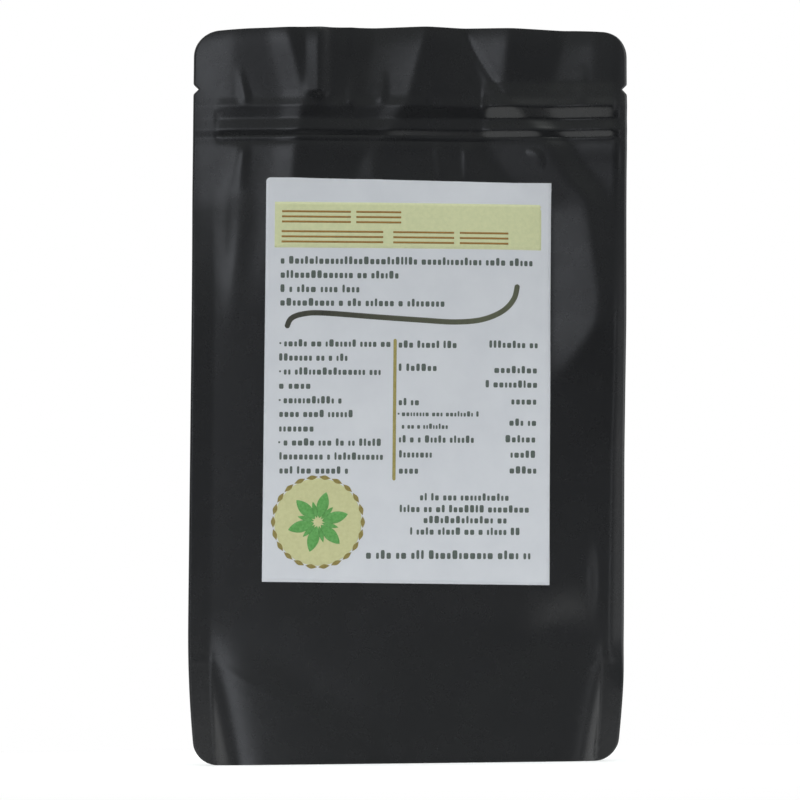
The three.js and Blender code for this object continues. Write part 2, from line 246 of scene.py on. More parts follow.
def sheetWave(x, z):
    # both films together: bends along lines from the top edge down, held flatter under the label, the top
    # edge curled back and the right seal's edge curled towards the viewer
    places, heights = [], []
    for line in sheetLines:
        lineZ, lineX, lineHeight = np.array(line, float)[::-1].T
        places.append(np.mean([np.interp(z + d, lineZ, lineX) for d in sheetSoft["down"]], 0))
        heights.append(np.mean([np.interp(z + d, lineZ, lineHeight) for d in sheetSoft["down"]], 0))
    bends = bentLine(x, places, heights, sheetSoft["across"]) * bareShare(x, z, sheetSoft["held"])
    curled = soften(z - topCurl["start"], topCurl["soft"]) / (bag["height"] - topCurl["start"])
    start = np.interp(z, (edgeCurl["low"], edgeCurl["high"]), (edgeCurl["startLow"], edgeCurl["startHigh"]))
    edge = edgeCurl["rate"] * soften(x - start, edgeCurl["soft"])
    edge = edge * smooth(z, edgeCurl["low"], edgeCurl["low"] + edgeCurl["rise"])
    return bends + folds(x, z, headerFolds, 0.5) - topCurl["drop"] * curled ** 2 + edge


def zipRelief(x, z):
    # a tape with a ridge along it, pressed flatter at both ends, with a crimp mark at each
    heights, left, right = np.array(zipProfile).T
    share = smooth(x, zipTape["kink"] - zipTape["kinkSoft"], zipTape["kink"] + zipTape["kinkSoft"])
    relief = bentLine(z, heights, left, zipTape["rounding"]) * (1.0 - share)
    relief = relief + bentLine(z, heights, right, zipTape["rounding"]) * share
    between = smooth(x - zipTape["left"], -zipTape["crimpSoft"], zipTape["crimpSoft"])
    between = between * (1.0 - smooth(x - zipTape["right"], -zipTape["crimpSoft"], zipTape["crimpSoft"]))
    marks = hill(x - zipTape["left"], zipTape["markWidth"]) + hill(x - zipTape["right"], zipTape["markWidth"])
    tape = smooth(z - zipTape["bottom"], *zipTape["markLow"])
    tape = tape * (1.0 - smooth(z - zipTape["top"], *zipTape["markHigh"]))
    relief = relief * (zipTape["crimped"] + (1.0 - zipTape["crimped"]) * between)
    inBand = (z > heights[0] - zipTape["reach"]) & (z < heights[-1] + zipTape["reach"])
    return np.where(inBand, relief - zipTape["crimpMark"] * marks * tape, 0.0)


def bareShare(x, z, held):
    # 1 on bare film, 0 where the label holds it smooth, further in than the held margin: a soft step of the
    # larger of the distances past the label's sides
    dx, dz = x + centreLine(z) - label["x"], z - label["z"]
    c, s = np.cos(label["turn"]), np.sin(label["turn"])
    across = np.abs(dx * c + dz * s) - label["width"] / 2
    along = np.abs(-dx * s + dz * c) - label["height"] / 2
    return smooth(np.maximum(across, along), -held, label["free"])


weld = dict(height=37.6, low=7.0, power=1.45, relief=0.07, halfWidth=0.8, inner=71.0, step=0.5, stepSoft=1.0)


def gussetWeld(x, z):
    # the line where the gusset web is welded to the panel, a ridge on a small step: low in the middle and
    # up to the gusset fold at the seals, by a power of the place across
    reach = np.clip(np.abs(x) / weld["inner"], 0.0, 1.0)
    line = weld["low"] + (weld["height"] - weld["low"]) * reach ** weld["power"]
    ridge = hill(z - line, weld["halfWidth"])
    below = 1.0 - smooth(z - line, -weld["stepSoft"], weld["stepSoft"])
    return weld["relief"] * (ridge + weld["step"] * below)


def looseShare(x, z):
    # 1 on the loose film, 0 on the side seals, above the zip's lower edge and at the floor: three soft steps
    insideSeals = smooth(bag["width"] / 2 - bag["seal"] - np.abs(x), 0.0, bag["seal"])
    belowZip = 1.0 - smooth(z - zipTape["bottom"], *bag["reliefEnd"])
    return insideSeals * belowZip * smooth(z, 0.0, bag["reliefRise"])


def frontRelief(x, z):
    # swells and folds of the loose film beside the label, and the weld of the gusset web
    relief = swells(x, z, frontSwells) + folds(x, z, belowZipFolds, 0.4)
    return relief * bareShare(x, z, label["held"]) * looseShare(x, z) + gussetWeld(x, z)


backSwells = [
    (-58, 150, 10, 40, 5, 0.9), (57, 175, 9, 32, -4, 0.9), (10, 196, 26, 9, 80, 0.7),
    (-20, 90, 22, 34, 12, 0.5), (30, 110, 16, 40, -10, -0.5), (-30, 28, 6, 20, -58, -0.6),
    (32, 30, 6, 20, 56, -0.6),
]
backFolds = [
    (-30, 228, -34, 205, 4, 6, 6, 8, 0.4, 0.1), (6, 228, 2, 200, 5, 4, 9, 6, 0.5, 0.1),
    (44, 228, 60, 196, 5, 6, 6, 5, -0.8, -0.3), (-64, 226, -58, 190, 4, 6, 6, 8, 0.5, 0.1),
]


def backRelief(x, z):
    # swells and folds of the loose film, and the weld of the gusset web
    relief = swells(x, z, backSwells) + folds(x, z, backFolds, 1.0)
    return relief * looseShare(x, z) + gussetWeld(x, z)


def halfThickness(x, z):
    # flat side seals with a bowed film between them: a parabola for the contents, a high power for the foot
    inner = (bag["width"] / 2 - bag["seal"]) * bentHalfWidth(z) / (bag["width"] / 2)
    across = np.clip(np.abs(x / inner), 0.0, 1.0)
    bow = bodyBow(z) * (1.0 - across ** 2) + footBow(z) * (1.0 - across ** bag["footPower"])
    return bag["flange"] / 2 + bow + zipRelief(x, z)


def frontDepth(x, z):
    # the front film's y: both films' common wave, half the bag's thickness and its own relief, all towards -Y
    return -sheetWave(x, z) - halfThickness(x, z) - frontRelief(x, z)


def backDepth(x, z):
    # the back film's y, the same with the thickness and relief away from the viewer
    return -sheetWave(x, z) + halfThickness(x, z) + backRelief(x, z)


# Meshes from grids of points

def makeMesh(name, points, faceSets, material, smoothShaded=True):
    # points is an array of millimetres, faceSets a list of integer arrays with one face a row
    mesh = bpy.data.meshes.new(name)
    mesh.vertices.add(len(points))
    mesh.vertices.foreach_set("co", (np.asarray(points, float) * mm).ravel())
    corners = np.concatenate([np.asarray(f).ravel() for f in faceSets]).astype(np.int32)
    sizes = np.concatenate([np.full(len(f), np.asarray(f).shape[1]) for f in faceSets])
    starts = np.concatenate([[0], np.cumsum(sizes)[:-1]]).astype(np.int32)
    mesh.loops.add(len(corners))
    mesh.loops.foreach_set("vertex_index", corners)
    mesh.polygons.add(len(sizes))
    mesh.polygons.foreach_set("loop_start", starts)
    mesh.polygons.foreach_set("use_smooth", np.full(len(sizes), smoothShaded))
    mesh.update(calc_edges=True)
    mesh.validate()
    mesh.materials.append(material)
    piece = bpy.data.objects.new(name, mesh)
    scene.collection.objects.link(piece)
    return piece


def quads(grid):
    # faces of a grid of point numbers; with rows to the right and columns upwards they face the viewer at -Y
    a, b, c, d = grid[:-1, :-1], grid[1:, :-1], grid[1:, 1:], grid[:-1, 1:]
    return np.stack([a.ravel(), b.ravel(), c.ravel(), d.ravel()], -1)


def strip(first, second):
    # faces between two lines of point numbers
    return np.stack([first[:-1], first[1:], second[1:], second[:-1]], -1)


def closedSheets(name, fronts, backs, material):
    # each front grid of points and its back grid are joined round their four edges; all go into one mesh
    number, a, b = fronts.shape[:3]
    f = np.arange(a * b).reshape(a, b)
    r = f + a * b
    faces = np.concatenate([
        quads(f), quads(r)[:, ::-1],
        strip(f[:, -1], r[:, -1]), strip(f[:, 0], r[:, 0])[:, ::-1],
        strip(f[0], r[0]), strip(f[-1], r[-1])[:, ::-1],
    ])
    faces = (faces[None] + 2 * a * b * np.arange(number)[:, None, None]).reshape(-1, 4)
    points = np.concatenate([fronts.reshape(number, -1, 3), backs.reshape(number, -1, 3)], 1).reshape(-1, 3)
    return makeMesh(name, points, [faces], material)


def closedSheet(name, front, back, material):
    # the same for one pair of grids
    return closedSheets(name, front[None], back[None], material)


# Materials

def newMaterial(name):
    # a material with its nodes, links and shader
    material = bpy.data.materials.new(name)
    material.use_nodes = True
    nodes = material.node_tree.nodes
    return material, nodes, material.node_tree.links, nodes["Principled BSDF"]


def noiseNode(nodes, links, scale, detail, roughness, stretch=None):
    # noise on Object coordinates, in features a metre
    place = nodes.new("ShaderNodeTexCoord")
    noise = nodes.new("ShaderNodeTexNoise")
    noise.inputs["Scale"].default_value = scale
    noise.inputs["Detail"].default_value = detail
    noise.inputs["Roughness"].default_value = roughness
    if stretch:
        mapping = nodes.new("ShaderNodeMapping")
        mapping.inputs["Scale"].default_value = stretch
        links.new(place.outputs["Object"], mapping.inputs["Vector"])
        links.new(mapping.outputs["Vector"], noise.inputs["Vector"])
    else:
        links.new(place.outputs["Object"], noise.inputs["Vector"])
    return noise


def rangeNode(nodes, links, source, low, high, fromLow=0.3, fromHigh=0.7):
    # a straight map of one range to another, held at its ends
    node = nodes.new("ShaderNodeMapRange")
    node.inputs["From Min"].default_value = fromLow
    node.inputs["From Max"].default_value = fromHigh
    node.inputs["To Min"].default_value = low
    node.inputs["To Max"].default_value = high
    links.new(source, node.inputs["Value"])
    return node


def mixColour(nodes, links, share, first, second):
    # the first colour where the share is 0, the second where it is 1
    node = nodes.new("ShaderNodeMix")
    node.data_type = "RGBA"
    node.inputs[6].default_value = (*first, 1.0)
    node.inputs[7].default_value = (*second, 1.0)
    links.new(share, node.inputs[0])
    return node


def bumpNode(nodes, links, height, strength, distance, below=None):
    # a bump of the given height in metres, on top of the one below it
    node = nodes.new("ShaderNodeBump")
    node.inputs["Strength"].default_value = strength
    node.inputs["Distance"].default_value = distance
    links.new(height, node.inputs["Height"])
    if below:
        links.new(below.outputs["Normal"], node.inputs["Normal"])
    return node


def paintClouds(nodes, links, shader, cloud, first, second, fromLow=0.3, fromHigh=0.7):
    # the base colour drifts between two close tones by a noise
    tone = rangeNode(nodes, links, cloud.outputs["Fac"], 0.0, 1.0, fromLow, fromHigh)
    colour = mixColour(nodes, links, tone.outputs["Result"], first, second)
    links.new(colour.outputs[2], shader.inputs["Base Color"])


film = dict(
    dark=(0.0085, 0.0088, 0.0095), light=(0.0105, 0.0108, 0.0118), cloudScale=38.0,
    roughLow=0.25, roughHigh=0.29, rubScale=95.0, specular=0.5,
    peel=0.04, peelScale=210.0, peelHeight=0.0008, grain=0.012, grainScale=1100.0, grainHeight=0.0002,
)


def makeFilm():
    # matt black film: clouds of tone, rubbed patches, a soft peel and a fine grain
    material, nodes, links, shader = newMaterial("mattBlackFilm")
    cloud = noiseNode(nodes, links, film["cloudScale"], 4.0, 0.6)
    paintClouds(nodes, links, shader, cloud, film["dark"], film["light"])
    rub = noiseNode(nodes, links, film["rubScale"], 5.0, 0.65)
    gloss = rangeNode(nodes, links, rub.outputs["Fac"], film["roughLow"], film["roughHigh"])
    links.new(gloss.outputs["Result"], shader.inputs["Roughness"])
    peel = noiseNode(nodes, links, film["peelScale"], 2.0, 0.5)
    peelBump = bumpNode(nodes, links, peel.outputs["Fac"], film["peel"], film["peelHeight"])
    grain = noiseNode(nodes, links, film["grainScale"], 1.0, 0.5)
    grainBump = bumpNode(nodes, links, grain.outputs["Fac"], film["grain"], film["grainHeight"], peelBump)
    links.new(grainBump.outputs["Normal"], shader.inputs["Normal"])
    shader.inputs["Specular IOR Level"].default_value = film["specular"]
    return material


paper = dict(
    white=(0.715, 0.73, 0.765), shade=(0.665, 0.68, 0.72), cloudScale=60.0, rough=0.62, specular=0.35,
    fibre=0.08, fibreScale=2600.0, fibreHeight=0.0002,
)


def makePaper():
    # white paper: clouds of tone and fine fibres
    material, nodes, links, shader = newMaterial("labelPaper")
    cloud = noiseNode(nodes, links, paper["cloudScale"], 5.0, 0.6)
    paintClouds(nodes, links, shader, cloud, paper["shade"], paper["white"])
    fibre = noiseNode(nodes, links, paper["fibreScale"], 3.0, 0.6)
    fibreBump = bumpNode(nodes, links, fibre.outputs["Fac"], paper["fibre"], paper["fibreHeight"])
    links.new(fibreBump.outputs["Normal"], shader.inputs["Normal"])
    shader.inputs["Roughness"].default_value = paper["rough"]
    shader.inputs["Specular IOR Level"].default_value = paper["specular"]
    return material


inkGloss = dict(rough=0.5, specular=0.35)
inks = dict(   # two close tones and the screen's features a metre
    bandInk=((0.70, 0.72, 0.43), (0.65, 0.68, 0.40), 700.0),
    discInk=((0.637, 0.631, 0.344), (0.59, 0.584, 0.312), 700.0),
    titleInk=((0.30, 0.16, 0.035), (0.36, 0.20, 0.05), 1500.0),
    typeInk=((0.088, 0.108, 0.096), (0.125, 0.15, 0.135), 1500.0),
    petalInk=((0.10, 0.33, 0.075), (0.15, 0.42, 0.12), 1100.0),
    dividerInk=((0.325, 0.278, 0.081), (0.39, 0.338, 0.122), 1100.0),
    ropeInk=((0.25, 0.20, 0.052), (0.32, 0.26, 0.085), 1100.0),
)


def makeInk(name):
    # printed ink: two close tones in a fine screen, a little smoother than the paper
    main, other, scale = inks[name]
    material, nodes, links, shader = newMaterial(name)
    screen = noiseNode(nodes, links, scale, 3.0, 0.6)
    paintClouds(nodes, links, shader, screen, main, other, 0.35, 0.65)
    shader.inputs["Roughness"].default_value = inkGloss["rough"]
    shader.inputs["Specular IOR Level"].default_value = inkGloss["specular"]
    return material


pod = dict(
    halfWidth=0.98, darkTo=-30.0, lightFrom=28.0, streakScale=420.0, streakShare=0.6,
    dark=(0.042, 0.042, 0.034), light=(0.12, 0.13, 0.082), streak=(0.085, 0.088, 0.062),
)


def makePodInk():
    # the drawn pod is darker at its left end than at its right, with fine streaks across it
    material, nodes, links, shader = newMaterial("podInk")
    place = nodes.new("ShaderNodeTexCoord")
    split = nodes.new("ShaderNodeSeparateXYZ")
    links.new(place.outputs["Object"], split.inputs["Vector"])
    along = rangeNode(nodes, links, split.outputs["X"], 0.0, 1.0, pod["darkTo"] * mm, pod["lightFrom"] * mm)
    base = mixColour(nodes, links, along.outputs["Result"], pod["dark"], pod["light"])
    streaks = noiseNode(nodes, links, pod["streakScale"], 2.0, 0.6, (1.0, 1.0, 0.12))
    share = rangeNode(nodes, links, streaks.outputs["Fac"], 0.0, pod["streakShare"])
    colour = mixColour(nodes, links, share.outputs["Result"], pod["dark"], pod["streak"])
    links.new(base.outputs[2], colour.inputs[6])
    links.new(colour.outputs[2], shader.inputs["Base Color"])
    shader.inputs["Roughness"].default_value = inkGloss["rough"]
    shader.inputs["Specular IOR Level"].default_value = inkGloss["specular"]
    return material


# The pouch: one closed shell with its seals, zip, bends and folds, welded rim and gusset web

shell = dict(
    innerColumns=148, sealColumns=8, cornerRows=13, bodyRows=186, zipStep=0.4, notchRows=13, notchSpan=2.1,
    undersideRows=20, rim=0.7, leastWeb=0.4, rise=9.0, sharpness=1.5,
)


def rowHeights():
    # close together round the corners (even turns of a quarter circle), the zip and the notches; small
    # offsets keep the runs of rows apart
    notchAt, span = bag["notchAt"], shell["notchSpan"]
    quarter = np.linspace(0.0, np.pi / 2, shell["cornerRows"])
    foot = bag["footRadius"] * (1.0 - np.cos(quarter))
    top = bag["height"] - bag["topRadius"] * (1.0 - np.sin(quarter))
    body = np.linspace(bag["footRadius"], zipTape["bottom"] - 1.0, shell["bodyRows"])
    zipRows = np.arange(zipTape["bottom"] - 0.6, zipTape["top"] + 0.9, shell["zipStep"])
    above = np.linspace(zipTape["top"] + 1.3, notchAt - span - 0.5, 4)
    notch = np.linspace(notchAt - span, notchAt + span, shell["notchRows"])
    header = np.linspace(notchAt + span + 0.6, bag["height"] - bag["topRadius"] - 0.8, 9)
    return np.concatenate([foot, body[1:], zipRows, above, notch, header, top])


def columnPlaces():
    # even steps across the bag between the seals, and closer ones across each seal
    half, inner = bag["width"] / 2, bag["width"] / 2 - bag["seal"]
    seal = np.linspace(inner, half, shell["sealColumns"] + 1)[1:]
    return np.concatenate([-seal[::-1], np.linspace(-inner, inner, shell["innerColumns"] + 1), seal])


def makePouch(material):
    # front and back film as grids over flat columns and heights, joined at the sides, the top and below
    column, z = np.meshgrid(columnPlaces(), rowHeights(), indexing="ij")
    x = acrossAt(column, z)
    height = crowned(column, z)
    front = np.stack([x + centreLine(z), frontDepth(x, z), height], -1)
    back = np.stack([x + centreLine(z), backDepth(x, z), height], -1)

    # the underside of each column: from the front rim over the arched web to the back rim
    low, high = front[:, 0, 1][:, None], back[:, 0, 1][:, None]
    middle, half = (low + high) / 2, (high - low) / 2
    web = np.maximum(half - shell["rim"], shell["leastWeb"] * half)
    share = np.linspace(-1.0, 1.0, shell["undersideRows"] - 1)[None, :]
    rise = shell["rise"] * np.clip(web / (bag["bodyDepth"] + bag["footDepth"] - shell["rim"]), 0.0, 1.0)
    webY = middle + share * web
    webZ = rise * (1.0 - np.abs(share) ** shell["sharpness"])
    webX = np.broadcast_to(front[:, 0, 0][:, None], webY.shape)
    under = np.stack([webX, webY, webZ], -1)[1:-1]

    count = front.shape[0] * front.shape[1]
    f = np.arange(count).reshape(front.shape[:2])
    b = f + count
    inner = np.arange(under.shape[0] * under.shape[1]).reshape(under.shape[:2]) + 2 * count
    bottom = np.concatenate([f[1:-1, :1], inner, b[1:-1, :1]], 1)
    leftEnd = np.concatenate([[b[0, 0], f[0, 0]], bottom[0]])[None, :]
    rightEnd = np.concatenate([[f[-1, 0], b[-1, 0]], bottom[-1][::-1]])[None, :]
    faceSets = [
        quads(f), quads(b)[:, ::-1], strip(f[:, -1], b[:, -1]),
        strip(f[0], b[0]), strip(f[-1], b[-1])[:, ::-1],
        quads(bottom)[:, ::-1], leftEnd[:, ::-1], rightEnd[:, ::-1],
    ]
    points = np.concatenate([front.reshape(-1, 3), back.reshape(-1, 3), under.reshape(-1, 3)])
    return makeMesh("pouchFilm", points, faceSets, material)


# The label and its print. u runs right and v up from the label's centre, on the film's own surface

def labelPoints(u, v, lift):
    # a place on the label, turned about its centre and laid on the front film, lifted towards the viewer
    c, s = np.cos(label["turn"]), np.sin(label["turn"])
    x = label["x"] + u * c - v * s
    z = label["z"] + u * s + v * c
    return np.stack([x, frontDepth(x - centreLine(z), z) - lift, z], -1)


def makeLabel(material):
    # a thin sheet; an arc takes the upper left corner off, fading to nothing over the corner's reach
    half = label["height"] / 2
    straight = half - label["cornerRadius"]
    rise = label["cornerRadius"] * np.sin(np.linspace(0.0, np.pi / 2, 9))
    rows = np.concatenate([np.linspace(-half, straight, 100), straight + rise[1:]])
    u, v = np.meshgrid(np.linspace(-label["width"] / 2, label["width"] / 2, 71), rows, indexing="ij")
    above = np.clip(v - straight, 0.0, None)
    cut = label["cornerRadius"] - np.sqrt(np.clip(label["cornerRadius"] ** 2 - above ** 2, 0.0, None))
    share = np.clip(1.0 - (u + label["width"] / 2) / label["cornerReach"], 0.0, 1.0)
    front = labelPoints(u + cut * share, v, label["thickness"])
    return closedSheet("labelSheet", front, labelPoints(u + cut * share, v, label["sunk"]), material)


printSet = dict(drop=-0.35, skew=0.010, layer=0.015, sunk=0.02)   # a little low and askew on its sheet


def inkPoints(u, v, layer):
    # a place of the print on its skewed sheet, so many layers above the paper; layer None is sunk into it
    lift = label["thickness"] + (-printSet["sunk"] if layer is None else printSet["layer"] * layer)
    return labelPoints(u, v + printSet["drop"] + printSet["skew"] * u, lift)


def inkField(name, u, v, layer, material):
    # a printed field from a grid of u and v
    return closedSheet(name, inkPoints(u, v, layer), inkPoints(u, v, None), material)


def inkFields(name, u, v, layer, material):
    # many printed fields, one grid of u and v for each
    return closedSheets(name, inkPoints(u, v, layer), inkPoints(u, v, None), material)


def inkPlates(name, corners, layer, material):
    # many small flat shapes, a row of corner points for each, turned from the right over the top to the left
    top = inkPoints(corners[..., 0], corners[..., 1], layer)
    low = inkPoints(corners[..., 0], corners[..., 1], None)
    number, sides = corners.shape[:2]
    t = np.arange(number * sides).reshape(number, sides)
    b = t + number * sides
    walls = np.stack([t, b, np.roll(b, -1, 1), np.roll(t, -1, 1)], -1).reshape(-1, 4)
    points = np.concatenate([top.reshape(-1, 3), low.reshape(-1, 3)])
    return makeMesh(name, points, [t, b[:, ::-1], walls], material, smoothShaded=False)


def inkShapes(name, centres, sizes, outline, layer, material):
    # one outline, scaled by each size, round each centre
    return inkPlates(name, centres[:, None, :] + sizes[:, None, :] * outline[None, :, :], layer, material)


roundedBox = np.array([(1, .55), (.8, .93), (.5, 1), (-.5, 1), (-.8, .93), (-1, .55),
                       (-1, -.55), (-.8, -.93), (-.5, -1), (.5, -1), (.8, -.93), (1, -.55)])[::-1] * 0.5

typeLines = [   # left end, middle height, right end, height of a low block
    (-47.0, 44.2, 45.7, 1.95), (-47.0, 39.0, -3.9, 1.95), (-47.0, 33.8, -18.2, 1.95),
    (-47.0, 28.8, 13.1, 1.95), (-45.4, 13.8, -6.6, 1.85), (-47.2, 8.6, -22.3, 1.85),
    (-45.4, 3.5, -10.1, 1.85), (-47.1, -1.7, -35.7, 1.85), (-45.4, -7.0, -24.3, 1.85),
    (-46.9, -12.0, -20.2, 1.85), (-46.9, -17.3, -34.4, 1.85), (-45.2, -22.4, -9.8, 1.85),
    (-46.7, -27.5, -9.0, 1.85), (-46.6, -32.6, -21.7, 1.85), (-3.6, 13.6, 17.7, 1.85),
    (-3.5, 5.1, 10.4, 1.85), (-3.4, -7.5, 4.0, 1.85), (-2.2, -11.8, 26.0, 1.35), (-2.2, -16.4, 14.7, 1.35),
    (-3.2, -21.1, 24.3, 1.85), (-3.1, -26.6, 8.9, 1.85), (-3.1, -32.5, 3.9, 1.85), (29.8, 13.9, 47.8, 1.85),
    (31.7, 4.6, 47.5, 1.85), (28.5, -0.7, 47.6, 1.85), (38.1, -6.9, 47.3, 1.85), (37.4, -14.7, 47.3, 1.85),
    (36.0, -20.8, 47.0, 1.85), (37.9, -26.4, 47.0, 1.85), (37.6, -32.2, 47.5, 1.85),
    (4.7, -42.2, 37.3, 1.85), (-2.7, -46.5, 44.8, 1.85), (6.1, -50.5, 36.6, 1.85), (1.2, -54.7, 41.4, 1.85),
    (-14.8, -63.3, 45.5, 2.2),
]
bulletPlaces = [(-46.8, 13.8), (-46.8, 3.5), (-46.8, -7.0), (-46.8, -22.4), (-3.4, -11.8)]
typeBlock = dict(   # sizes and moves as shares of a low block's height
    draws=120, narrow=0.4, wide=0.85, gap=0.3, wordGap=0.85, wordEnds=0.16,
    talls=0.26, tall=1.45, tallUp=0.07, lowDown=0.15, bullet=0.7,
)


def blocksOfLine(left, middle, right, low, rng):
    # a line of type as blocks of drawn width in word-long groups, some of them taller, stretched to fit
    width = rng.uniform(typeBlock["narrow"], typeBlock["wide"], typeBlock["draws"]) * low
    atEnd = rng.random(typeBlock["draws"]) < typeBlock["wordEnds"]
    gap = np.where(atEnd, low * typeBlock["wordGap"], low * typeBlock["gap"])
    end = np.cumsum(width + gap) - gap
    count = max(np.searchsorted(end, right - left), 1)
    stretch = (right - left) / end[count - 1]
    place = left + (end[:count] - width[:count] / 2) * stretch
    tall = rng.random(count) < typeBlock["talls"]
    size = np.stack([width[:count] * stretch, np.where(tall, low * typeBlock["tall"], low)], -1)
    centre = np.stack([place, middle + low * np.where(tall, typeBlock["tallUp"], -typeBlock["lowDown"])], -1)
    return centre, size


def makeTypeBars(material):
    # all lines of blocks and the bullets before some of them, each a box with cut corners
    rng = np.random.default_rng(7)
    parts = [blocksOfLine(*line, rng) for line in typeLines]
    centres = np.concatenate([p[0] for p in parts] + [np.array(bulletPlaces)])
    sizes = np.concatenate([p[1] for p in parts] + [np.full((len(bulletPlaces), 2), typeBlock["bullet"])])
    return inkShapes("printTypeBars", centres, sizes, roundedBox, 1, material)


# left end, middle height and right end of each word
titleWords = [
    (-46.7, 60.6, -21.5), (-19.5, 60.6, -3.0), (-46.8, 53.2, -9.6), (-5.9, 53.2, 16.5), (18.6, 53.2, 36.6),
]
titleStripe = dict(pitch=1.9, height=0.72, drop=0.2)


def makeTitleBars(material):
    # each word of the headline is three thin bars, one above the other
    left, middle, right = np.repeat(np.array(titleWords), 3, 0).T
    middle = middle - titleStripe["drop"] + np.tile([-1.0, 0.0, 1.0], len(titleWords)) * titleStripe["pitch"]
    along, across = np.linspace(0.0, 1.0, 12)[None, :, None], np.array([-0.5, 0.5])[None, None, :]
    u = left[:, None, None] + (right - left)[:, None, None] * along + 0 * across
    v = middle[:, None, None] + titleStripe["height"] * across + 0 * along
    return inkFields("printTitle", u, v, 3, material)


band = dict(left=-49.3, right=48.9, low=48.9, high=65.8)


def makeBand(material):
    # the pale field behind the headline
    across, up = np.linspace(band["left"], band["right"], 80), np.linspace(band["low"], band["high"], 16)
    u, v = np.meshgrid(across, up, indexing="ij")
    return inkField("printBand", u, v, 1, material)


def roundEnds(fromEnd, half):
    # half the width of a ribbon with round ends: a quarter circle over the last bit of its length
    return half * np.sqrt(np.clip(1.0 - np.clip(1.0 - fromEnd / half, 0.0, 1.0) ** 2, 0.02, 1.0))


divider = dict(u=-4.9, low=-36.2, high=15.6, halfWidth=0.6)


def makeDivider(material):
    # a thin upright strip with round ends
    half = divider["halfWidth"]
    end = half * (1.0 - np.cos(np.linspace(0.0, np.pi / 2, 7)))
    between = np.linspace(divider["low"] + half, divider["high"] - half, 38)[1:-1]
    rows = np.concatenate([divider["low"] + end, between, divider["high"] - end[::-1]])
    side, v = np.meshgrid(np.linspace(-1.0, 1.0, 3), rows, indexing="ij")
    width = roundEnds(np.minimum(v - divider["low"], divider["high"] - v), half)
    return inkField("printDivider", divider["u"] + side * width, v, 1, material)


podRoute = [   # places along the middle of the drawn pod
    (-44.7, 19.3), (-42.9, 22.9), (-38.2, 24.6), (-31.0, 24.9), (-12.0, 23.6), (4.4, 22.6),
    (17.0, 22.0), (27.0, 23.0), (34.6, 26.2), (38.8, 30.8), (40.2, 36.2),
]


def smoothRoute(route, count):
    # a Catmull-Rom curve through the route's points: a cubic between each two, with the neighbours' slopes
    p = np.array(route, float)
    p = np.concatenate([2 * p[:1] - p[1:2], p, 2 * p[-1:] - p[-2:-1]])
    t = np.linspace(0.0, len(route) - 1 - 1e-6, count)
    i, s = t.astype(int), (t % 1.0)[:, None]
    a, b, c, d = p[i], p[i + 1], p[i + 2], p[i + 3]
    square, cube = 2 * a - 5 * b + 4 * c - d, 3 * b - a - 3 * c + d
    return 0.5 * (2 * b + (c - a) * s + square * s ** 2 + cube * s ** 3)


def makePod(material):
    # a ribbon along the route, its ends rounded
    line = smoothRoute(podRoute, 180)
    tangent = np.gradient(line, axis=0)
    tangent /= np.linalg.norm(tangent, axis=1)[:, None]
    normal = np.stack([-tangent[:, 1], tangent[:, 0]], -1)
    run = np.concatenate([[0.0], np.cumsum(np.linalg.norm(np.diff(line, axis=0), axis=1))])
    width = roundEnds(np.minimum(run, run[-1] - run), pod["halfWidth"])
    side = np.linspace(1.0, -1.0, 5)
    points = line[:, None, :] + normal[:, None, :] * (width[:, None] * side[None, :])[..., None]
    return inkField("printPod", points[..., 0][:, ::-1], points[..., 1][:, ::-1], 2, material)


seal = dict(u=-32.4, v=-51.4, radius=15.9, ropeRadius=16.3, ropeHalf=1.15, lozenges=22, lozengeFill=0.93)
rosette = dict(reach=11.2, width=4.2, short=7.6, thin=1.7, gap=1.5, turn=15, fullness=0.8, least=0.06)


def makeSealDisc(material):
    # a square grid pressed into a disc, so that it has no pole
    a, b = np.meshgrid(np.linspace(-1, 1, 34), np.linspace(-1, 1, 34), indexing="ij")
    u = seal["u"] + seal["radius"] * a * np.sqrt(1 - b ** 2 / 2)
    v = seal["v"] + seal["radius"] * b * np.sqrt(1 - a ** 2 / 2)
    return inkField("printSealDisc", u, v, 1, material)


def makeSealRope(material):
    # lozenges laid end to end round the disc
    turn = 2 * np.pi * np.arange(seal["lozenges"]) / seal["lozenges"]
    reach = np.pi * seal["ropeRadius"] / seal["lozenges"] * seal["lozengeFill"]
    lozenge = np.array([
        (1, 0), (0.3, -0.6), (0, -0.72), (-0.3, -0.6), (-1, 0), (-0.3, 0.6), (0, 0.72), (0.3, 0.6)])
    c, s = np.cos(turn)[:, None], np.sin(turn)[:, None]
    along, across = lozenge[:, 0] * reach, lozenge[:, 1] * seal["ropeHalf"]
    u = seal["u"] + (seal["ropeRadius"] + across) * c - along * s
    v = seal["v"] + (seal["ropeRadius"] + across) * s + along * c
    return inkPlates("printSealRope", np.stack([u, v], -1), 2, material)


def makeRosette(material):
    # six petals round the seal's middle and six short ones between, each swelling by a sine to a point
    k = np.arange(12)
    turn = np.radians(rosette["turn"] + 30 * k)[:, None, None]
    reach = np.where(k % 2 == 0, rosette["reach"], rosette["short"])[:, None, None]
    width = np.where(k % 2 == 0, rosette["width"], rosette["thin"])[:, None, None]
    s = np.linspace(0.0, 1.0, 15)[None, :, None]
    side = np.linspace(-0.5, 0.5, 5)[None, None, :]
    along = rosette["gap"] + (reach - rosette["gap"]) * s + 0 * side
    across = side * (width * np.sin(np.pi * s) ** rosette["fullness"] + rosette["least"])
    u = seal["u"] + along * np.cos(turn) - across * np.sin(turn)
    v = seal["v"] + along * np.sin(turn) + across * np.cos(turn)
    return inkFields("printRosette", u, v, 2, material)


# Camera, lights, tent and floor

photoCamera = dict(
    azimuth=-5.61, elevation=-4.49, roll=-0.5785, distance=1.4, target=(-0.00392, 0.0, 0.13212),
    pixels=800, pixelsPerMm=2.736, sensor=36.0, clip=60.0,
)


